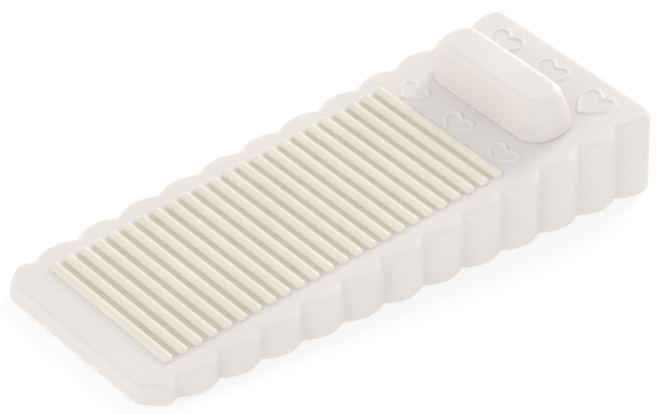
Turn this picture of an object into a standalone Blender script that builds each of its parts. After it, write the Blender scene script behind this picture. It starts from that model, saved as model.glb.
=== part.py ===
"""A small moulded washboard wedge: a scalloped body, rib rods laid in its deck and a soap bar.

Metres, +Z up. +X runs from the thin end to the thick end, and +Y across the deck.
The origin is the middle of the underside.
"""

import math

import bmesh
import bpy
from mathutils import Matrix, Vector

MM = 0.001

# Body: a wedge with scalloped long sides
LENGTH = 127.5 * MM
THIN_HEIGHT = 4.2 * MM          # deck over base at the thin end
THICK_HEIGHT = 18.5 * MM        # deck over base at the thick end
SCALLOP_PITCH = 10.0 * MM
NOTCHES = 12                    # between the scallops of one long side
FIRST_NOTCH = 7.8 * MM          # from the thin end
NOTCH_Y = 23.8 * MM             # from the middle line to a notch
SCALLOP_RISE = 1.75 * MM        # of a scallop past its notches
SCALLOP_STEPS = 6               # straight pieces in one scallop, even so that its crest is a point
THIN_CORNER_ALONG = 4.8 * MM    # cut off the thin end's corners, along X
THIN_CORNER_ACROSS = 4.3 * MM   # and along Y
THIN_CORNER_ROUND = 3.1 * MM
THICK_CORNER_ROUND = 3.5 * MM
ROUND_STEPS = 4                 # straight pieces in a rounded corner
DRAFT = 0.028                   # lean of the sides, per unit of height
DECK_EDGE_ROUND = 1.5 * MM
BASE_EDGE_ROUND = 0.4 * MM
NOSE_ROUND = 1.0 * MM           # of the base edge at the thin end
FIRST_SCALLOP_ROUND = 2.6 * MM  # where a thin corner turns into the first scallop
RIM_STEPS = 3                   # flats across a rounded rim

# Ribs: rods laid across the deck in half-round grooves
RIBS = 24
FIRST_RIB = 9.45 * MM           # from the thin end
RIB_PITCH = 3.523 * MM
RIB_RADIUS = 1.3 * MM
RIB_SINK = 0.3 * MM             # of a rib's axis under the deck
RIB_LENGTH = 39.3 * MM
RIB_SIDES = 12
RIB_END_ROUND = 0.92            # of a rod's end, as a share of its radius
RIB_END_STEPS = 3

# Soap bar: it stands on the deck on two pegs
SOAP_X = 107.2 * MM             # from the thin end
SOAP_WIDTH = 12.8 * MM          # along the deck, at the foot
SOAP_LENGTH = 35.6 * MM         # across the deck, at the foot
SOAP_HEIGHT = 8.6 * MM
SOAP_TAPER = 1.5 * MM           # lean of its sides, from the foot to the rounding of its top
SOAP_CORNER_ROUND = 5.8 * MM    # from above
SOAP_CORNER_STEPS = 6
SOAP_TOP_ROUND = 2.0 * MM
SOAP_TOP_STEPS = 4
SOAP_FOOT_ROUND = 0.8 * MM
SOAP_FOOT_STEPS = 2
PEG_SPACING = 20.0 * MM
PEG_RADIUS = 1.5 * MM
PEG_DEPTH = 2.4 * MM            # below the deck
PEG_SIDES = 16

# Hearts: raised outlines on the deck, three before the soap bar and three behind it
HEART_ROWS = (
    # x from the thin end, length along x, width along y, distance between centres
    (95.1 * MM, 5.8 * MM, 7.5 * MM, 14.1 * MM),
    (118.9 * MM, 8.4 * MM, 8.5 * MM, 14.3 * MM),
)
HEART_LINE = 0.8 * MM           # width of the outline
HEART_RISE = 0.35 * MM          # over the deck
HEART_STEPS = 20                # points in one outline
HEART_WAVES = (13, -4.2, -1.6, -0.6)    # heart curve: the sum of these times cos(t), cos(2t)...
HEART_SHIFT = 2.6               # moves that curve's middle to zero
HEART_SPAN = 27.2               # that curve's length

CLEARANCE = 0.3 * MM            # between two pieces
SHARP_ANGLE = math.radians(35)  # edges that turn more than this are shaded sharp
WELD = 0.001 * MM               # distance under which two points of the hearts are one
SLOPE = math.atan2(THICK_HEIGHT - THIN_HEIGHT, LENGTH)


def clear_scene():
    for obj in list(bpy.data.objects):
        bpy.data.objects.remove(obj, do_unlink=True)


def new_collection(name):
    found = bpy.data.collections.new(name)
    bpy.context.scene.collection.children.link(found)
    return found


def new_material(name, colour, roughness):
    material = bpy.data.materials.new(name)
    material.use_nodes = True
    shader = material.node_tree.nodes["Principled BSDF"]
    shader.inputs["Base Color"].default_value = (*colour, 1.0)
    shader.inputs["Roughness"].default_value = roughness
    shader.inputs["Metallic"].default_value = 0.0
    return material


def object_of(bm, name, collection, material=None):
    """A smooth-shaded object that holds bm, which is freed."""
    bmesh.ops.recalc_face_normals(bm, faces=bm.faces[:])
    mesh = bpy.data.meshes.new(name)
    bm.to_mesh(mesh)
    bm.free()
    mesh.shade_smooth()
    mesh.set_sharp_from_angle(angle=SHARP_ANGLE)
    if material:
        mesh.materials.append(material)
    obj = bpy.data.objects.new(name, mesh)
    collection.objects.link(obj)
    return obj


def as_helper(obj):
    obj.hide_render = True
    obj.display_type = "WIRE"
    return obj


def boolean(obj, operation, other):
    modifier = obj.modifiers.new(other.name, "BOOLEAN")
    modifier.operation = operation
    modifier.solver = "EXACT"
    modifier.object = other


def deck_height(x):
    """Height of the deck at x in the part's frame."""
    share = (x + LENGTH / 2) / LENGTH
    return THIN_HEIGHT + share * (THICK_HEIGHT - THIN_HEIGHT)


def on_deck(from_thin_end, y=0.0):
    """The frame of a thing standing on the deck: its local +Z is the deck's normal."""
    x = from_thin_end - LENGTH / 2
    place = Matrix.Translation((x, y, deck_height(x)))
    return place @ Matrix.Rotation(-SLOPE, 4, "Y")


def rounded(before, corner, after, radius, steps):
    """Points of the arc that rounds a corner of an outline."""
    to_before = (before - corner).normalized()
    to_after = (after - corner).normalized()
    half_angle = to_before.angle(to_after) / 2
    middle = corner + (to_before + to_after).normalized() * radius / math.sin(half_angle)
    start = corner + to_before * radius / math.tan(half_angle) - middle
    end = corner + to_after * radius / math.tan(half_angle) - middle
    turn = start.angle_signed(end)
    return [middle + Matrix.Rotation(-turn * i / steps, 2) @ start for i in range(steps + 1)]


def scallop(start_x):
    """Points of one scallop's arc on the +Y side, without its last notch."""
    radius = ((SCALLOP_PITCH / 2) ** 2 + SCALLOP_RISE**2) / (2 * SCALLOP_RISE)
    half_angle = math.asin(SCALLOP_PITCH / 2 / radius)
    middle = Vector((start_x + SCALLOP_PITCH / 2, NOTCH_Y + SCALLOP_RISE - radius))
    angles = [half_angle * (2 * i / SCALLOP_STEPS - 1) for i in range(SCALLOP_STEPS)]
    return [middle + radius * Vector((math.sin(a), math.cos(a))) for a in angles]


def side_outline():
    """The base outline's +Y half, from the thin end to the thick end."""
    thin_x = -LENGTH / 2
    thick_x = LENGTH / 2
    crest_y = NOTCH_Y + SCALLOP_RISE
    first = Vector((thin_x + FIRST_NOTCH, NOTCH_Y))
    last = Vector((first.x + (NOTCHES - 1) * SCALLOP_PITCH, NOTCH_Y))
    cut_end = Vector((thin_x, crest_y - THIN_CORNER_ACROSS))
    cut_side = Vector((thin_x + THIN_CORNER_ALONG, crest_y))
    points = rounded(Vector((thin_x, 0)), cut_end, cut_side, THIN_CORNER_ROUND, ROUND_STEPS)
    points += rounded(cut_end, cut_side, first, FIRST_SCALLOP_ROUND, ROUND_STEPS)
    for i in range(NOTCHES - 1):
        points += scallop(first.x + i * SCALLOP_PITCH)
    last_arc = [p for p in scallop(last.x) if p.x < thick_x - THICK_CORNER_ROUND]
    corner = Vector((thick_x, crest_y))
    before = Vector((last_arc[-1].x, crest_y))
    points += last_arc + rounded(before, corner, Vector((thick_x, 0)), THICK_CORNER_ROUND, ROUND_STEPS)
    return points


def body_outline():
    """The whole base outline, counter-clockwise from above."""
    side = side_outline()
    return [Vector((p.x, -p.y)) for p in side] + side[::-1]


def inward_normals(outline):
    """The direction from each point of the outline into the body."""
    normals = []
    for i, point in enumerate(outline):
        along = (outline[(i + 1) % len(outline)] - point).normalized()
        along += (point - outline[i - 1]).normalized()
        along.normalize()
        normals.append(Vector((-along.y, along.x)))
    return normals


def edges_between(loop):
    return [e for v in loop for e in v.link_edges if e.other_vert(v) in loop]


def wedge(name, collection, material):
    """The scalloped outline raised to the sloping deck, with drafted sides and rounded rims."""
    outline = body_outline()
    bm = bmesh.new()
    weight = bm.edges.layers.float.new("bevel_weight_edge")
    base = [bm.verts.new((p.x, p.y, 0)) for p in outline]
    base_face = bm.faces.new(base)
    raised = bmesh.ops.extrude_face_region(bm, geom=[base_face], use_keep_orig=True)
    deck = [v for v in raised["geom"] if isinstance(v, bmesh.types.BMVert)]
    inward = {p.to_tuple(5): n for p, n in zip(outline, inward_normals(outline))}
    for vert in deck:
        lean = DRAFT * deck_height(vert.co.x) * inward[vert.co.xy.to_tuple(5)]
        vert.co.xy += lean
        vert.co.z = deck_height(vert.co.x)
    for edge in set(edges_between(deck)):
        edge[weight] = 1.0
    for edge in set(edges_between(base)):
        at_nose = max(v.co.x for v in edge.verts) < THIN_CORNER_ALONG - LENGTH / 2
        edge[weight] = (NOSE_ROUND if at_nose else BASE_EDGE_ROUND) / DECK_EDGE_ROUND
    obj = object_of(bm, name, collection, material)
    rims = obj.modifiers.new("rounded_rims", "BEVEL")
    rims.limit_method = "WEIGHT"
    rims.width = DECK_EDGE_ROUND
    rims.segments = RIM_STEPS
    rims.use_clamp_overlap = False
    return obj


def bevel(bm, edges, width, steps):
    bmesh.ops.bevel(bm, geom=edges, offset=width, segments=steps, profile=0.5, affect="EDGES")


def add_rod(bm, place, radius, length):
    """Adds a rod along the place's Y, with round ends."""
    known = set(bm.faces)
    upright = place @ Matrix.Rotation(math.pi / 2, 4, "X")
    bmesh.ops.create_cone(
        bm, cap_ends=True, segments=RIB_SIDES, radius1=radius, radius2=radius, depth=length, matrix=upright
    )
    caps = [f for f in bm.faces if f not in known and len(f.verts) == RIB_SIDES]
    rims = [e for f in caps for e in f.edges]
    bevel(bm, rims, RIB_END_ROUND * radius, RIB_END_STEPS)


def rib_place(index):
    return on_deck(FIRST_RIB + index * RIB_PITCH) @ Matrix.Translation((0, 0, -RIB_SINK))


def rib_grooves(collection):
    """The cutter of all the ribs' grooves."""
    bm = bmesh.new()
    for i in range(RIBS):
        add_rod(bm, rib_place(i), RIB_RADIUS + CLEARANCE, RIB_LENGTH + 2 * CLEARANCE)
    return as_helper(object_of(bm, "rib_grooves", collection))


def ribs(collection, material):
    bm = bmesh.new()
    add_rod(bm, Matrix.Identity(4), RIB_RADIUS, RIB_LENGTH)
    first = object_of(bm, "rib_01", collection, material)
    first.matrix_world = rib_place(0)
    for i in range(1, RIBS):
        rib = bpy.data.objects.new(f"rib_{i + 1:02d}", first.data)
        rib.matrix_world = rib_place(i)
        collection.objects.link(rib)


def pegs(name, collection, radius, bottom, top):
    """Two upright pegs in the soap bar's frame, from bottom to top."""
    bm = bmesh.new()
    for side in (-1, 1):
        middle = (0, side * PEG_SPACING / 2, (bottom + top) / 2)
        bmesh.ops.create_cone(
            bm,
            cap_ends=True,
            segments=PEG_SIDES,
            radius1=radius,
            radius2=radius,
            depth=top - bottom,
            matrix=Matrix.Translation(middle),
        )
    obj = as_helper(object_of(bm, name, collection))
    obj.matrix_world = on_deck(SOAP_X)
    return obj


def soap_ring(inset):
    """Points of the soap bar's outline, drawn in by inset, counter-clockwise from above."""
    radius = SOAP_CORNER_ROUND - inset
    points = []
    for side_x, side_y, start in ((1, -1, -90), (1, 1, 0), (-1, 1, 90), (-1, -1, 180)):
        middle_x = side_x * (SOAP_WIDTH / 2 - SOAP_CORNER_ROUND)
        middle_y = side_y * (SOAP_LENGTH / 2 - SOAP_CORNER_ROUND)
        for i in range(SOAP_CORNER_STEPS + 1):
            angle = math.radians(start + 90 * i / SOAP_CORNER_STEPS)
            points.append((middle_x + radius * math.cos(angle), middle_y + radius * math.sin(angle)))
    return points


def soap_profile():
    """The soap bar's side from foot to top, as pairs of inset and height."""
    profile = []
    for i in range(SOAP_FOOT_STEPS + 1):
        angle = math.radians(90 * i / SOAP_FOOT_STEPS)
        profile.append((SOAP_FOOT_ROUND * (1 - math.sin(angle)), SOAP_FOOT_ROUND * (1 - math.cos(angle))))
    for i in range(SOAP_TOP_STEPS + 1):
        angle = math.radians(90 * i / SOAP_TOP_STEPS)
        inset = SOAP_TAPER + SOAP_TOP_ROUND * (1 - math.cos(angle))
        profile.append((inset, SOAP_HEIGHT - SOAP_TOP_ROUND * (1 - math.sin(angle))))
    return profile


def soap_bar(collection, cutters, material):
    """A loft with leaning sides and a rounded top, and a pair of pegs under it."""
    bm = bmesh.new()
    rings = []
    for inset, height in soap_profile():
        rings.append([bm.verts.new((x, y, CLEARANCE + height)) for x, y in soap_ring(inset)])
    for lower, upper in zip(rings, rings[1:]):
        for i in range(len(lower)):
            bm.faces.new((lower[i - 1], lower[i], upper[i], upper[i - 1]))
    bm.faces.new(rings[0][::-1])
    bm.faces.new(rings[-1])
    obj = object_of(bm, "soap_bar", collection, material)
    obj.matrix_world = on_deck(SOAP_X)
    boolean(obj, "UNION", pegs("soap_pegs", cutters, PEG_RADIUS, -PEG_DEPTH, SOAP_HEIGHT / 2))


def heart(length, width, middle):
    """Points of a heart that points to -X, with its lobes side by side along Y."""
    points = []
    for i in range(HEART_STEPS):
        t = 2 * math.pi * i / HEART_STEPS
        across = math.sin(t) * abs(math.sin(t)) / 2
        waves = sum(wave * math.cos((n + 1) * t) for n, wave in enumerate(HEART_WAVES))
        along = (waves + HEART_SHIFT) / HEART_SPAN
        points.append((middle[0] + along * length, middle[1] + across * width))
    return points


def add_outline(curve, points):
    spline = curve.splines.new("POLY")
    spline.points.add(len(points) - 1)
    spline.use_cyclic_u = True
    for target, (x, y) in zip(spline.points, points):
        target.co = (x, y, 0, 1)


def hearts(collection):
    """The raised heart outlines, as one flat curve on the deck made into a mesh."""
    curve = bpy.data.curves.new("hearts", "CURVE")
    curve.dimensions = "2D"
    curve.fill_mode = "BOTH"
    curve.extrude = HEART_RISE
    for from_thin_end, length, width, spacing in HEART_ROWS:
        along = (from_thin_end - LENGTH / 2) / math.cos(SLOPE)
        for column in (-1, 0, 1):
            middle = (along, column * spacing)
            add_outline(curve, heart(length, width, middle))
            add_outline(curve, heart(length - 2 * HEART_LINE, width - 2 * HEART_LINE, middle))
    flat = bpy.data.objects.new("hearts_curve", curve)
    collection.objects.link(flat)
    flat.matrix_world = on_deck(LENGTH / 2)
    bpy.context.view_layer.update()
    evaluated = flat.evaluated_get(bpy.context.evaluated_depsgraph_get())
    mesh = bpy.data.meshes.new_from_object(evaluated)
    bm = bmesh.new()
    bm.from_mesh(mesh)
    bmesh.ops.remove_doubles(bm, verts=bm.verts[:], dist=0.001 * MM)
    obj = as_helper(object_of(bm, "hearts", collection))
    obj.matrix_world = flat.matrix_world
    bpy.data.objects.remove(flat, do_unlink=True)
    return obj


def main():
    clear_scene()
    parts = new_collection("washboard")
    cutters = new_collection("washboard_cutters")
    white = new_material("body_white", (0.84, 0.82, 0.80), 0.55)
    cream = new_material("rib_cream", (0.86, 0.81, 0.70), 0.5)
    soap = new_material("soap_white", (0.85, 0.82, 0.80), 0.5)

    body = wedge("wedge_body", parts, white)
    boolean(body, "DIFFERENCE", rib_grooves(cutters))
    socket_depth = PEG_DEPTH + CLEARANCE
    sockets = pegs("peg_sockets", cutters, PEG_RADIUS + CLEARANCE, -socket_depth, SOAP_HEIGHT)
    boolean(body, "DIFFERENCE", sockets)
    boolean(body, "UNION", hearts(cutters))
    ribs(parts, cream)
    soap_bar(parts, cutters, soap)


main()
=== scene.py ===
"""The looks of the washboard wedge: a satin white body, 24 cream rods in its deck and a bar of soap.

Metres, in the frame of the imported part: +X from the thin end to the thick end, +Y across, +Z up.
"""

import math

import bpy
import numpy as np
from mathutils import Matrix, Vector
from mathutils.geometry import delaunay_2d_cdt


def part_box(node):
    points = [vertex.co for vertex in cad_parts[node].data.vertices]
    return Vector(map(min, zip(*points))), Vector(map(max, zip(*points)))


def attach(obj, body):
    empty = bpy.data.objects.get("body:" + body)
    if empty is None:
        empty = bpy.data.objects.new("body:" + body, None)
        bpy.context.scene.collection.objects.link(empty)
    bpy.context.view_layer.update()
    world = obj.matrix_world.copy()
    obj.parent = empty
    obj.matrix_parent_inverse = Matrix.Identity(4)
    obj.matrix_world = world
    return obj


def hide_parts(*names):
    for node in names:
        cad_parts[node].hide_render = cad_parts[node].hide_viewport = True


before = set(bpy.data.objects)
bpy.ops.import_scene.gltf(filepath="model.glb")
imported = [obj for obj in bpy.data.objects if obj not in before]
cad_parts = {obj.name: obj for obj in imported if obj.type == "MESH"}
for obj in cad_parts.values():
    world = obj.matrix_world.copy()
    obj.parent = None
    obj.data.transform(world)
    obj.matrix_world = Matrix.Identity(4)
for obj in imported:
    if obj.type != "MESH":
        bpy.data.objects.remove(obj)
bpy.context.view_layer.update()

MM = 0.001
ROOT = "root"


def box_middle(node):
    low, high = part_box(node)
    return (low + high) / 2


# Places and the deck's slope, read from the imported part. The deck rises towards +X.
BODY_LOW, BODY_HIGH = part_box("wedge_body")
THIN_X = BODY_LOW.x
THICK_X = BODY_HIGH.x
CREST_Y = BODY_HIGH.y
RIB_NODES = sorted(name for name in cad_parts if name.startswith("rib_"))
RIB_MIDDLES = [box_middle(name) for name in RIB_NODES]
FIRST_AXIS = RIB_MIDDLES[0]
LAST_AXIS = RIB_MIDDLES[-1]
DECK_TAN = (LAST_AXIS.z - FIRST_AXIS.z) / (LAST_AXIS.x - FIRST_AXIS.x)
SLOPE = math.atan(DECK_TAN)
RIB_LOW, RIB_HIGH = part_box(RIB_NODES[0])
RIB_TIP_Y = RIB_HIGH.y
RIB_RADIUS = (RIB_HIGH.x - RIB_LOW.x) / 2

# Base outline: straight ends, and sides of scallops that meet in notches
SCALLOP_PITCH = 10.0 * MM
NOTCHES = 12
FIRST_NOTCH = 7.8 * MM
SCALLOP_RISE = 1.75 * MM
THIN_CORNER_ALONG = 4.8 * MM
THIN_CORNER_ACROSS = 4.3 * MM
THIN_CORNER_ROUND = 3.1 * MM
FIRST_SCALLOP_ROUND = 2.6 * MM
THICK_CORNER_ROUND = 3.5 * MM
NOTCH_Y = CREST_Y - SCALLOP_RISE
OUTLINE_STEP = 0.4 * MM         # between points of the fine outline

# Wall and edges of the body
DRAFT = 0.028                   # how far the wall leans in for each unit it rises
DECK_ROUND = 1.5 * MM
BASE_ROUND = 0.4 * MM
NOSE_ROUND = 1.0 * MM           # replaces the base round at the thin end
NOSE_FROM = 3 * MM              # from the thin end, where the nose round starts to shrink
NOSE_TO = 7 * MM                # and where it has become the base round
UNDERSIDE_INSET = 1.6           # first flat ring of the underside, in base rounds
RIM_STEP = 0.3 * MM             # from the rim's round to the flat deck's first points
BASE_RINGS = 7                  # over the base round
WALL_RINGS = 9                  # up the wall, with its two ends
DECK_ROUND_RINGS = 11

# Rods, with axes a little under the deck, and the fillets that join each one to the deck
RIB_SINK = 0.3 * MM
RIB_CAP = 0.8 * RIB_RADIUS      # length of a rod's rounded end
RIB_STRAIGHT = RIB_TIP_Y - RIB_CAP
ROD_SIDES = 40
ROD_CAP_ANGLES = np.radians(np.linspace(0, 90, 12)[1:-1])
ROD_RINGS = 27                  # along its straight part
FILLET = 0.22 * MM
FILLET_OUTER = math.sqrt((RIB_RADIUS + FILLET) ** 2 - (FILLET + RIB_SINK) ** 2)
FILLET_INNER = FILLET_OUTER * RIB_RADIUS / (RIB_RADIUS + FILLET)
GROOVE_DEPTH = 0.3 * MM         # of the deck under a rod, out of sight
GROOVE_EDGE = FILLET_INNER - 0.01 * MM

# Mesh of the deck
DECK_STEP = 0.8 * MM            # between points where the deck is flat
DECK_MARGIN = 0.35 * MM         # kept free of points inside the rim
FIELD_MARGIN = 2 * MM           # past the end rods' axes, kept free of the flat deck's points
GROOVE_ROWS = 19                # of points along a rod
TIP_POINT = 1.8 * MM            # past the straight part, one more point at each tip
HEART_STEP = 0.16 * MM          # between points on and round a heart
HEART_MARGIN = 0.9 * MM         # of such points round each heart
HEART_FIELD = 1.0 * MM          # round each heart, kept free of the flat deck's points

# Painted shade between the rods, a darker cream on the deck: the distance at which it is full, and at
# which it is gone
PAINTED_SHADE_PAST_RODS = (1.1 * MM, 1.3 * MM)      # outwards from the end rods' axes
PAINTED_SHADE_BEFORE_TIPS = (1.1 * MM, 0.2 * MM)    # inwards from the rods' tips
PAINTED_SHADE_DEPTH = 1.4 * MM                      # under the deck, to leave out the wall and underside

# Hearts: raised outlines, in a row on each side of the soap bar
HEART_ROWS = (
    # x from the thin end, length along x, width along y, distance between centres
    (95.1 * MM, 5.8 * MM, 7.5 * MM, 14.1 * MM),
    (118.9 * MM, 8.4 * MM, 8.5 * MM, 14.3 * MM),
)
HEART_LINE = 0.8 * MM
HEART_RISE = 0.33 * MM
HEART_SOFTNESS = 0.42           # in line widths, from the outline's middle to about a third of its rise
HEART_WAVES = (13, -4.2, -1.6, -0.6)    # cosine terms of the heart's curve along its axis
HEART_SHIFT = 2.6               # puts the curve's middle at zero
HEART_SPAN = 27.2               # the curve's own length

# Soap bar, in its own frame on the deck
SOAP_FROM_THIN_END = 107.2 * MM
SOAP_WIDTH = 12.8 * MM
SOAP_LENGTH = 35.6 * MM
SOAP_HEIGHT = 8.86 * MM
SOAP_TAPER = 1.5 * MM
SOAP_CORNER = 5.8 * MM
SOAP_TOP_ROUND = 2.0 * MM
SOAP_FOOT_ROUND = 0.15 * MM
SOAP_BULGE = 0.2 * MM           # of its walls, halfway up
SOAP_CORNER_POINTS = 15
SOAP_SIDE_POINTS = 30
SOAP_FOOT_RINGS = 8
SOAP_WALL_RINGS = 9
SOAP_TOP_RINGS = 16
SOAP_FLAT_RINGS = (0.25, 0.6, 0.95)     # on its flat top, as shares of the way in

# The plastic's clouds, speckle, grain and flow marks: noise scales, and heights of the two that are bumps
CLOUD_SCALE = 70
SPECKLE_SCALE = 900
GRAIN_SCALE = 5200
GRAIN_HEIGHT = 0.02 * MM
FLOW_SCALE = 240
FLOW_HEIGHT = 0.06 * MM
SPECKLE_COLOUR = (0.96, 0.955, 0.95)    # multiplies the plastic's own
SUBSURFACE_RADIUS = (1.0, 0.8, 0.65)
SUBSURFACE_SCALE = 1.2 * MM
PLASTIC_IOR = 1.46

# Studio: a glowing floor, a white room and two round softboxes that face the object
FLOOR_HALF = 3.0
FLOOR_GAP = 0.02 * MM
FLOOR_GREY = 0.35
FLOOR_GLOW = 0.62
WORLD_COLOUR = (1.0, 0.995, 0.985)
WORLD_HORIZON = 2.05
WORLD_TOP = 0.86
WORLD_TURN = 0.6                # sine of the elevation from which the room is as bright as its top
RIGHT_PLACE = (0.94, 0.38, 0.64)
RIGHT_SIZE = 0.5
RIGHT_WATTS = 5.0
LEFT_PLACE = (-0.87, 0.31, 0.76)
LEFT_SIZE = 0.6
LEFT_WATTS = 1.2

# Camera: it looks down along the wedge, towards the thick end's far corner
CAMERA_PLACE = (-0.41821, -0.52067, 0.47380)
CAMERA_DOWN = math.radians(34.933)
CAMERA_TURN = math.radians(38.697)      # from +Y towards +X
CAMERA_ROLL = math.radians(1.094)
CAMERA_LENS = 224.2
CAMERA_SENSOR = 36


def deck_height(x):
    """The deck's height over the underside, without its relief."""
    return FIRST_AXIS.z + RIB_SINK / math.cos(SLOPE) + (x - FIRST_AXIS.x) * DECK_TAN


def smooth_share(value, start, end):
    """0 before start, 1 after end, and a smooth turn between."""
    t = np.clip((value - start) / (end - start), 0, 1)
    return t * t * (3 - 2 * t)


# ---------------------------------------------------------------- body outline


def arc_of_corner(before, corner, after, radius, steps=12):
    """Points that round the corner between two straight lines."""
    before, corner, after = (np.array(p, float) for p in (before, corner, after))
    u = (before - corner) / np.linalg.norm(before - corner)
    v = (after - corner) / np.linalg.norm(after - corner)
    half = math.acos(float(u @ v)) / 2
    bisector = (u + v) / np.linalg.norm(u + v)
    middle = corner + bisector * radius / math.sin(half)
    first = corner + u * radius / math.tan(half) - middle
    last = corner + v * radius / math.tan(half) - middle
    a0 = math.atan2(first[1], first[0])
    turn = (math.atan2(last[1], last[0]) - a0 + math.pi) % (2 * math.pi) - math.pi
    angles = a0 + turn * np.linspace(0, 1, steps + 1)
    return [middle + radius * np.array((math.cos(a), math.sin(a))) for a in angles]


def scallop_arc(start_x, steps=26):
    """Points over one scallop, from its notch up to, but not at, the next one."""
    radius = ((SCALLOP_PITCH / 2) ** 2 + SCALLOP_RISE**2) / (2 * SCALLOP_RISE)
    half = math.asin(SCALLOP_PITCH / 2 / radius)
    middle = np.array((start_x + SCALLOP_PITCH / 2, CREST_Y - radius))
    angles = half * np.linspace(-1, 1, steps + 1)[:-1]
    return [middle + radius * np.array((math.sin(a), math.cos(a))) for a in angles]


def side_outline():
    """The +Y half of the base outline, from the thin end to the thick end."""
    first = (THIN_X + FIRST_NOTCH, NOTCH_Y)
    last_x = first[0] + (NOTCHES - 1) * SCALLOP_PITCH
    cut_end = (THIN_X, CREST_Y - THIN_CORNER_ACROSS)
    cut_side = (THIN_X + THIN_CORNER_ALONG, CREST_Y)
    points = arc_of_corner((THIN_X, 0), cut_end, cut_side, THIN_CORNER_ROUND)
    points += arc_of_corner(cut_end, cut_side, first, FIRST_SCALLOP_ROUND)
    for i in range(NOTCHES - 1):
        points += scallop_arc(first[0] + i * SCALLOP_PITCH)
    crest_x = last_x + SCALLOP_PITCH / 2
    points += [p for p in scallop_arc(last_x) if p[0] <= crest_x + OUTLINE_STEP / 10]
    points += arc_of_corner((last_x, CREST_Y), (THICK_X, CREST_Y), (THICK_X, 0), THICK_CORNER_ROUND)
    return np.array(points)


def resampled(points, step):
    """A closed outline with evenly spaced points about a step apart."""
    closed = np.vstack([points, points[:1]])
    lengths = np.linalg.norm(np.diff(closed, axis=0), axis=1)
    at = np.concatenate([[0], np.cumsum(lengths)])
    count = int(round(at[-1] / step))
    wanted = np.linspace(0, at[-1], count, endpoint=False)
    return np.column_stack([np.interp(wanted, at, closed[:, k]) for k in (0, 1)])


def body_outline():
    """The base outline, counter-clockwise from above, and its inward directions.

    One smoothing step rounds the notches a little.
    """
    side = side_outline()
    points = np.vstack([side * (1, -1), side[::-1]])
    points = resampled(points, OUTLINE_STEP)
    points = points / 2 + (np.roll(points, 1, 0) + np.roll(points, -1, 0)) / 4
    along = np.roll(points, -1, 0) - np.roll(points, 1, 0)
    along /= np.linalg.norm(along, axis=1)[:, None]
    inward = np.column_stack([-along[:, 1], along[:, 0]])
    return points, inward


# ---------------------------------------------------------------- deck relief


def heart_points(length, width, steps=160):
    """A heart round its own middle, with its axis along X."""
    t = np.linspace(0, 2 * math.pi, steps, endpoint=False)
    along = sum(wave * np.cos((n + 1) * t) for n, wave in enumerate(HEART_WAVES))
    along = (along + HEART_SHIFT) / HEART_SPAN
    across = np.sin(t) * np.abs(np.sin(t)) / 2
    return np.column_stack([along * length * math.cos(SLOPE), across * width])


def hearts():
    """Each heart's middle and the middle line of its raised outline."""
    found = []
    for from_thin_end, length, width, spacing in HEART_ROWS:
        line = heart_points(length - HEART_LINE, width - HEART_LINE)
        for column in (-1, 0, 1):
            middle = np.array((THIN_X + from_thin_end, column * spacing))
            found.append((middle, max(length, width) / 2, middle + line))
    return found


def distance_to_line(points, line):
    """Distance from each point to a closed line."""
    step = np.roll(line, -1, 0) - line
    from_start = points[:, None, :] - line[None]
    share = (from_start * step).sum(2) / (step**2).sum(1)
    share = np.clip(share, 0, 1)
    return np.linalg.norm(from_start - share[..., None] * step, axis=2).min(1)


def rod_rise(points):
    """How far the deck rises at each point for the rods' fillets, or drops under a rod."""
    over = np.maximum(np.abs(points[:, 1]) - RIB_STRAIGHT, 0) * RIB_RADIUS / RIB_CAP
    nearest = np.full(len(points), 1.0)
    for axis in RIB_MIDDLES:
        nearest = np.minimum(nearest, np.hypot(points[:, 0] - axis.x, over))
    to_flat = np.clip(FILLET_OUTER - nearest, 0, FILLET)
    fillet = FILLET - np.sqrt(FILLET**2 - to_flat**2)
    return np.where(nearest < GROOVE_EDGE, -GROOVE_DEPTH, fillet)


def heart_rise(points):
    """How far the deck rises at each point for the hearts' outlines."""
    rise = np.zeros(len(points))
    for middle, reach, line in hearts():
        near = np.abs(points - middle).max(1) < reach + 2 * HEART_LINE
        if near.any():
            away = distance_to_line(points[near], line) / HEART_LINE
            bump = HEART_RISE * np.exp(-((away / HEART_SOFTNESS) ** 2))
            rise[near] = np.maximum(rise[near], bump)
    return rise


def groove_offsets():
    """Distances from a rod's axis at which the deck needs lines of points."""
    inner = FILLET_INNER * np.array((0.0, 0.5, 0.93))
    width = FILLET_OUTER - FILLET_INNER
    outer = FILLET_INNER + width * np.array((0.0, 0.08, 0.18, 0.3, 0.45, 0.7, 1.0))
    return np.concatenate([inner, outer])


def points_round_rods():
    """Lines of deck points along each rod and round its tips."""
    offsets = groove_offsets()
    rows = np.linspace(-RIB_STRAIGHT, RIB_STRAIGHT, GROOVE_ROWS)
    points = []
    for axis in RIB_MIDDLES:
        columns = axis.x + np.unique(np.concatenate([-offsets, offsets]))
        points += [(x, y) for x in columns for y in rows]
        for end in (-1, 1):
            for angle in np.radians(np.arange(12, 180, 12)):
                for radius in offsets[1:]:
                    x = axis.x + radius * math.cos(angle)
                    y = RIB_STRAIGHT + radius * math.sin(angle) * RIB_CAP / RIB_RADIUS
                    points.append((x, end * y))
            points.append((axis.x, end * (RIB_STRAIGHT + TIP_POINT)))
    return points


def points_on_flat_deck():
    """A coarse grid of deck points, left out round the rods and hearts."""
    xs = np.arange(THIN_X, THICK_X, DECK_STEP)
    ys = np.arange(-CREST_Y, CREST_Y, DECK_STEP)
    grid = np.array([(x, y) for x in xs for y in ys])
    taken = (grid[:, 0] > FIRST_AXIS.x - FIELD_MARGIN) & (grid[:, 0] < LAST_AXIS.x + FIELD_MARGIN)
    taken &= np.abs(grid[:, 1]) < RIB_TIP_Y + DECK_STEP
    for middle, reach, _ in hearts():
        taken |= np.abs(grid - middle).max(1) < reach + HEART_FIELD
    return grid[~taken]


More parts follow.
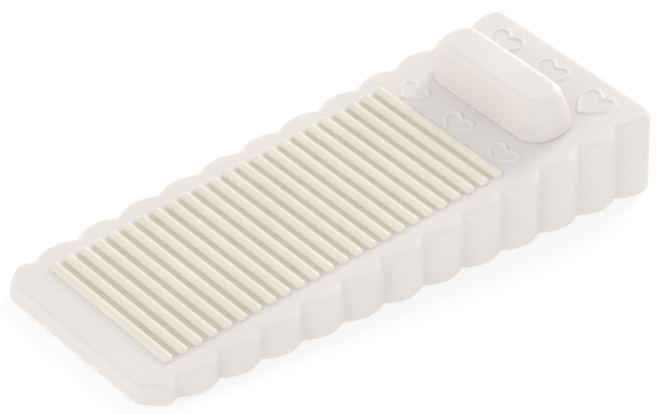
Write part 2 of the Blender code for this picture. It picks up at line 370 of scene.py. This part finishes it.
def deck_points(rim):
    """Points inside the deck's rim, dense where its relief is fine."""
    points = points_round_rods()
    for middle, reach, _ in hearts():
        span = np.arange(-reach - HEART_MARGIN, reach + HEART_MARGIN, HEART_STEP)
        points += [(middle[0] + dx, middle[1] + dy) for dx in span for dy in span]
    points = np.vstack([np.array(points), points_on_flat_deck()])
    return points[inside_outline(points, rim, DECK_MARGIN)]


def inside_outline(points, outline, margin):
    """Which points lie inside the outline, and at least the margin from it."""
    after = np.roll(outline, -1, 0)
    crossings = np.zeros(len(points), int)
    nearest = np.full(len(points), 1.0)
    for (x0, y0), (x1, y1) in zip(outline, after):
        nearest = np.minimum(nearest, np.hypot(points[:, 0] - x0, points[:, 1] - y0))
        if y0 == y1:
            continue
        spans = (points[:, 1] >= min(y0, y1)) & (points[:, 1] < max(y0, y1))
        at = x0 + (points[:, 1] - y0) * (x1 - x0) / (y1 - y0)
        crossings += spans & (at > points[:, 0])
    return (crossings % 2 == 1) & (nearest > margin)


# ---------------------------------------------------------------- meshes


def new_piece(name, points, faces, nodes, material):
    """A smooth piece with the given material that rides with the part and stands for its nodes, which it
    hides.
    """
    mesh = bpy.data.meshes.new(name)
    mesh.from_pydata([tuple(p) for p in points], [], faces)
    mesh.update()
    mesh.validate()
    mesh.shade_smooth()
    mesh.materials.append(material)
    piece = bpy.data.objects.new(name, mesh)
    bpy.context.scene.collection.objects.link(piece)
    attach(piece, ROOT)
    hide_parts(*nodes)
    return piece


def band(first, second, count):
    """Quads between two rings of points, given by the index of each ring's first point."""
    turn = [(i, (i + 1) % count) for i in range(count)]
    return [(first + i, first + after, second + after, second + i) for i, after in turn]


def body_rings(outline, inward):
    """Rings from the underside, round its edge, up the drafted wall and over the deck's rim."""
    at_nose = 1 - smooth_share(outline[:, 0], THIN_X + NOSE_FROM, THIN_X + NOSE_TO)
    base_round = BASE_ROUND + (NOSE_ROUND - BASE_ROUND) * at_nose
    rings = []

    def add(offset, height):
        plan = outline + inward * offset[:, None]
        rings.append(np.column_stack([plan, height]))

    add(base_round * UNDERSIDE_INSET, np.zeros(len(outline)))
    for angle in np.radians(np.linspace(0, 90, BASE_RINGS)):
        height = base_round * (1 - math.cos(angle))
        add(base_round * (1 - math.sin(angle)) + DRAFT * height, height)
    top_plan = outline + inward * (DRAFT * deck_height(outline[:, 0]))[:, None]
    wall_top = deck_height(top_plan[:, 0]) - DECK_ROUND
    for share in np.linspace(0, 1, WALL_RINGS)[1:-1]:
        height = base_round + share * (wall_top - base_round)
        add(DRAFT * height, height)
    for angle in np.radians(np.linspace(0, 90, DECK_ROUND_RINGS)):
        inset = DRAFT * wall_top + DECK_ROUND * (1 - math.cos(angle))
        plan = outline + inward * inset[:, None]
        height = deck_height(plan[:, 0]) - DECK_ROUND * (1 - math.sin(angle))
        add(inset, height)
    inner_plan = outline + inward * (inset + RIM_STEP)[:, None]
    add(inset + RIM_STEP, deck_height(inner_plan[:, 0]))
    return rings


def paint_shade_between_rods(body, points):
    """Marks the points between the rods, where painted shade makes the deck a darker cream than the rods.
    """
    x, y, z = points.T
    full, gone = PAINTED_SHADE_PAST_RODS
    along = smooth_share(x, FIRST_AXIS.x - gone, FIRST_AXIS.x - full)
    along *= 1 - smooth_share(x, LAST_AXIS.x + full, LAST_AXIS.x + gone)
    full, gone = PAINTED_SHADE_BEFORE_TIPS
    across = 1 - smooth_share(np.abs(y), RIB_TIP_Y - full, RIB_TIP_Y - gone)
    on_deck = z > deck_height(x) - PAINTED_SHADE_DEPTH
    # the "cream" mark is where painted shade darkens the deck between the rods
    cream = body.data.attributes.new("cream", "FLOAT", "POINT")
    cream.data.foreach_set("value", (along * across * on_deck).astype(np.float32))


def make_body(material):
    """The body: rings up to the deck's rim, and inside it the deck and its relief as triangles."""
    outline, inward = body_outline()
    rings = body_rings(outline, inward)
    count = len(outline)
    points = np.vstack(rings)
    faces = [tuple(range(count))[::-1]]
    for i in range(len(rings) - 1):
        faces += band(i * count, (i + 1) * count, count)
    rim = rings[-1][:, :2]
    rim_start = (len(rings) - 1) * count
    extra = deck_points(rim)
    flat = np.vstack([rim, extra])
    edges = [(i, (i + 1) % count) for i in range(count)]
    made = delaunay_2d_cdt([Vector(p) for p in flat], edges, [], 1, 1e-8, True)
    verts, _, triangles, from_input = made[:4]
    centres = np.array([np.mean([verts[i] for i in t], axis=0) for t in triangles])
    kept = inside_outline(centres, rim, 0)
    height = deck_height(extra[:, 0]) + rod_rise(extra) + heart_rise(extra)
    points = np.vstack([points, np.column_stack([extra, height])])
    index = [rim_start + sources[0] for sources in from_input]
    faces += [tuple(index[i] for i in t) for t, keep in zip(triangles, kept) if keep]
    body = new_piece("body_shell", points, faces, ["wedge_body"], material)
    paint_shade_between_rods(body, points)


def make_rod(name, node, middle, material):
    """A rod with round ends along Y, centred on its node."""
    cap_reach = RIB_CAP * np.cos(ROD_CAP_ANGLES)
    cap_radius = RIB_RADIUS * np.sin(ROD_CAP_ANGLES)
    straight = np.linspace(-RIB_STRAIGHT, RIB_STRAIGHT, ROD_RINGS)
    places = np.concatenate([-RIB_STRAIGHT - cap_reach, straight, RIB_STRAIGHT + cap_reach[::-1]])
    radii = np.concatenate([cap_radius, np.full(ROD_RINGS, RIB_RADIUS), cap_radius[::-1]])
    points = []
    for y, radius in zip(places, radii):
        for k in range(ROD_SIDES):
            angle = 2 * math.pi * k / ROD_SIDES
            x = middle.x + radius * math.sin(angle)
            points.append((x, y, middle.z + radius * math.cos(angle)))
    faces = []
    for i in range(len(places) - 1):
        faces += band(i * ROD_SIDES, (i + 1) * ROD_SIDES, ROD_SIDES)
    low_tip = len(points)
    points.append((middle.x, -RIB_TIP_Y, middle.z))
    points.append((middle.x, RIB_TIP_Y, middle.z))
    last = (len(places) - 1) * ROD_SIDES
    for k in range(ROD_SIDES):
        after = (k + 1) % ROD_SIDES
        faces.append((low_tip, after, k))
        faces.append((low_tip + 1, last + k, last + after))
    new_piece(name, points, faces, [node], material)


def soap_ring(inset):
    """The soap bar's outline from above, drawn in by inset, counter-clockwise.

    Points along its two long sides follow those of the first and the third corner.
    """
    radius = SOAP_CORNER - inset
    x = SOAP_WIDTH / 2 - SOAP_CORNER
    y = SOAP_LENGTH / 2 - SOAP_CORNER
    quarter = np.radians(np.linspace(0, 90, SOAP_CORNER_POINTS))
    points = []
    for middle, start in (((x, -y), -90), ((x, y), 0), ((-x, y), 90), ((-x, -y), 180)):
        angles = quarter + math.radians(start)
        points.append(np.array(middle) + radius * np.column_stack([np.cos(angles), np.sin(angles)]))
        if start in (-90, 90):
            sign = 1 if start == -90 else -1
            side = np.linspace(-y, y, SOAP_SIDE_POINTS)[1:-1] * sign
            points.append(np.column_stack([np.full(len(side), sign * (x + radius)), side]))
    return np.vstack(points)


def soap_profile():
    """The soap bar's side from foot to top, as pairs of inset and height.

    A small round at the foot and a larger one at the top, joined by the leaning wall that touches both.
    """
    foot = np.array((SOAP_FOOT_ROUND, SOAP_FOOT_ROUND))
    top = np.array((SOAP_TAPER + SOAP_TOP_ROUND, SOAP_HEIGHT - SOAP_TOP_ROUND))
    across, up = top - foot
    lean = math.atan2(across, up)
    lean -= math.asin((SOAP_TOP_ROUND - SOAP_FOOT_ROUND) / math.hypot(across, up))

    def arc(middle, radius, start, end, steps):
        angles = np.linspace(start, end, steps)
        return [middle + radius * np.array((-math.cos(a), math.sin(a))) for a in angles]

    profile = arc(foot, SOAP_FOOT_ROUND, -math.pi / 2, lean, SOAP_FOOT_RINGS)
    upper = arc(top, SOAP_TOP_ROUND, lean, math.pi / 2, SOAP_TOP_RINGS)
    wall_foot = profile[-1]
    for share in np.linspace(0, 1, SOAP_WALL_RINGS)[1:-1]:
        bulge = np.array((SOAP_BULGE * math.sin(math.pi * share) ** 2, 0))
        profile.append(wall_foot + share * (upper[0] - wall_foot) - bulge)
    profile += upper
    for share in SOAP_FLAT_RINGS:
        profile.append(np.array((top[0] + share * (SOAP_CORNER - top[0]), SOAP_HEIGHT)))
    return profile


def make_soap(material):
    """The soap bar: its outline drawn in along its profile, and closed with flat ends."""
    profile = soap_profile()
    count = len(soap_ring(0))
    points = np.vstack([np.column_stack([soap_ring(i), np.full(count, h)]) for i, h in profile])
    faces = [tuple(range(count))[::-1]]
    for i in range(len(profile) - 1):
        faces += band(i * count, (i + 1) * count, count)
    faces.append(tuple((len(profile) - 1) * count + i for i in range(count)))
    x = THIN_X + SOAP_FROM_THIN_END
    place = Matrix.Translation((x, 0, deck_height(x))) @ Matrix.Rotation(-SLOPE, 4, "Y")
    placed = [place @ Vector(p) for p in points]
    new_piece("soap_cake", placed, faces, ["soap_bar"], material)


# ---------------------------------------------------------------- materials


def node(tree, kind, **values):
    made = tree.nodes.new(kind)
    for key, value in values.items():
        setattr(made, key, value)
    return made


def noise(tree, coordinates, scale, detail, roughness=0.5):
    made = node(tree, "ShaderNodeTexNoise")
    made.inputs["Scale"].default_value = scale
    made.inputs["Detail"].default_value = detail
    made.inputs["Roughness"].default_value = roughness
    tree.links.new(coordinates, made.inputs["Vector"])
    return made.outputs["Fac"]


def ramp(tree, value, low, high, start, end):
    made = node(tree, "ShaderNodeMapRange")
    made.inputs["From Min"].default_value = low
    made.inputs["From Max"].default_value = high
    made.inputs["To Min"].default_value = start
    made.inputs["To Max"].default_value = end
    tree.links.new(value, made.inputs["Value"])
    return made.outputs["Result"]


def mix(tree, share, first, second, blend="MIX"):
    """A colour mix. Its colour sockets come after those for numbers and vectors, so they go by place."""
    made = node(tree, "ShaderNodeMix", data_type="RGBA", blend_type=blend)
    tree.links.new(share, made.inputs["Factor"])
    for socket, colour in ((made.inputs[6], first), (made.inputs[7], second)):
        if isinstance(colour, tuple):
            socket.default_value = (*colour, 1)
        else:
            tree.links.new(colour, socket)
    return made.outputs[2]


def bump(tree, height, strength, distance):
    made = node(tree, "ShaderNodeBump")
    made.inputs["Strength"].default_value = strength
    made.inputs["Distance"].default_value = distance
    tree.links.new(height, made.inputs["Height"])
    return made


def soft_plastic(name, light, dark, roughness, subsurface, painted_shade_tint=None):
    """Satin, slightly translucent plastic: clouded colour, fine grain and faint flow marks.

    A painted shade tint is the darker cream painted on the points that a mesh marks as cream, as shade
    between the rods.
    """
    material = bpy.data.materials.new(name)
    material.use_nodes = True
    tree = material.node_tree
    shader = tree.nodes["Principled BSDF"]
    place = node(tree, "ShaderNodeTexCoord").outputs["Object"]
    clouds = noise(tree, place, CLOUD_SCALE, detail=3, roughness=0.55)
    speckle = noise(tree, place, SPECKLE_SCALE, detail=4, roughness=0.6)
    grain = noise(tree, place, GRAIN_SCALE, detail=3, roughness=0.6)
    flow = noise(tree, place, FLOW_SCALE, detail=2)
    cloudy = ramp(tree, clouds, low=0.3, high=0.7, start=0, end=1)
    colour = mix(tree, cloudy, dark, light)
    if painted_shade_tint:
        # painted shade: the points marked "cream" between the rods take the darker tint
        painted_shade_field = node(tree, "ShaderNodeAttribute", attribute_name="cream")
        colour = mix(tree, painted_shade_field.outputs["Fac"], colour, painted_shade_tint)
    speckles = ramp(tree, speckle, low=0.35, high=0.75, start=0, end=0.5)
    colour = mix(tree, speckles, colour, SPECKLE_COLOUR, "MULTIPLY")
    tree.links.new(colour, shader.inputs["Base Color"])
    sheen = ramp(tree, speckle, low=0.3, high=0.7, start=roughness - 0.05, end=roughness + 0.07)
    tree.links.new(sheen, shader.inputs["Roughness"])
    fine = bump(tree, grain, strength=0.12, distance=GRAIN_HEIGHT)
    broad = bump(tree, flow, strength=0.25, distance=FLOW_HEIGHT)
    tree.links.new(fine.outputs["Normal"], broad.inputs["Normal"])
    tree.links.new(broad.outputs["Normal"], shader.inputs["Normal"])
    shader.inputs["Subsurface Weight"].default_value = subsurface
    shader.inputs["Subsurface Radius"].default_value = SUBSURFACE_RADIUS
    shader.inputs["Subsurface Scale"].default_value = SUBSURFACE_SCALE
    shader.inputs["IOR"].default_value = PLASTIC_IOR
    return material


def floor_material():
    material = bpy.data.materials.new("studio_floor")
    material.use_nodes = True
    shader = material.node_tree.nodes["Principled BSDF"]
    shader.inputs["Base Color"].default_value = (FLOOR_GREY, FLOOR_GREY, FLOOR_GREY, 1)
    shader.inputs["Roughness"].default_value = 0.9
    shader.inputs["Specular IOR Level"].default_value = 0.0
    shader.inputs["Emission Color"].default_value = (1, 1, 1, 1)
    shader.inputs["Emission Strength"].default_value = FLOOR_GLOW
    return material


# ---------------------------------------------------------------- studio


def make_floor():
    mesh = bpy.data.meshes.new("studio_floor")
    corners = [(x * FLOOR_HALF, y * FLOOR_HALF, 0) for x, y in ((-1, -1), (1, -1), (1, 1), (-1, 1))]
    mesh.from_pydata(corners, [], [(0, 1, 2, 3)])
    mesh.materials.append(floor_material())
    floor = bpy.data.objects.new("studio_floor", mesh)
    bpy.context.scene.collection.objects.link(floor)
    floor.location.z = BODY_LOW.z - FLOOR_GAP


def make_world():
    """A white room, brighter towards the horizon."""
    world = bpy.data.worlds.new("studio")
    world.use_nodes = True
    tree = world.node_tree
    background = tree.nodes["Background"]
    background.inputs["Color"].default_value = (*WORLD_COLOUR, 1)
    direction = node(tree, "ShaderNodeTexCoord").outputs["Generated"]
    parts = node(tree, "ShaderNodeSeparateXYZ")
    tree.links.new(direction, parts.inputs["Vector"])
    height = parts.outputs["Z"]
    strength = ramp(tree, height, low=0, high=WORLD_TURN, start=WORLD_HORIZON, end=WORLD_TOP)
    tree.links.new(strength, background.inputs["Strength"])
    bpy.context.scene.world = world


def softbox(name, place, size, watts):
    """A round white light that faces the object's origin."""
    light = bpy.data.lights.new(name, "AREA")
    light.shape = "DISK"
    light.size = size
    light.energy = watts
    lamp = bpy.data.objects.new(name, light)
    lamp.location = place
    lamp.rotation_euler = (-Vector(place)).to_track_quat("-Z", "Y").to_euler()
    bpy.context.scene.collection.objects.link(lamp)


def make_camera():
    look = Vector((
        math.sin(CAMERA_TURN) * math.cos(CAMERA_DOWN),
        math.cos(CAMERA_TURN) * math.cos(CAMERA_DOWN),
        -math.sin(CAMERA_DOWN),
    ))
    level = look.to_track_quat("-Z", "Y").to_matrix().to_4x4()
    camera = bpy.data.cameras.new("camera")
    camera.lens = CAMERA_LENS
    camera.sensor_width = CAMERA_SENSOR
    seat = bpy.data.objects.new("camera", camera)
    seat.matrix_world = Matrix.Translation(CAMERA_PLACE) @ level @ Matrix.Rotation(CAMERA_ROLL, 4, "Z")
    bpy.context.scene.collection.objects.link(seat)
    bpy.context.scene.camera = seat


# ---------------------------------------------------------------- the scene


body_white = soft_plastic(
    "body_white_satin",
    light=(0.70, 0.67, 0.655),
    dark=(0.678, 0.648, 0.631),
    roughness=0.58,
    subsurface=0.3,
    # painted shade between the rods: a cream darker than the rods' own
    painted_shade_tint=(0.65, 0.59, 0.52),
)
rib_cream = soft_plastic(
    "rib_cream_satin",
    light=(0.715, 0.668, 0.597),
    dark=(0.685, 0.638, 0.567),
    roughness=0.32,
    subsurface=0.3,
)
soap_white = soft_plastic(
    "soap_white_satin",
    light=(0.70, 0.67, 0.65),
    dark=(0.68, 0.648, 0.627),
    roughness=0.45,
    subsurface=0.35,
)

make_body(body_white)
for number, (name, middle) in enumerate(zip(RIB_NODES, RIB_MIDDLES), 1):
    make_rod(f"rod_{number:02d}", name, middle, rib_cream)
make_soap(soap_white)
make_floor()
make_world()
softbox("right_softbox", RIGHT_PLACE, RIGHT_SIZE, RIGHT_WATTS)
softbox("left_softbox", LEFT_PLACE, LEFT_SIZE, LEFT_WATTS)
make_camera()
bpy.context.scene.view_settings.view_transform = "Standard"
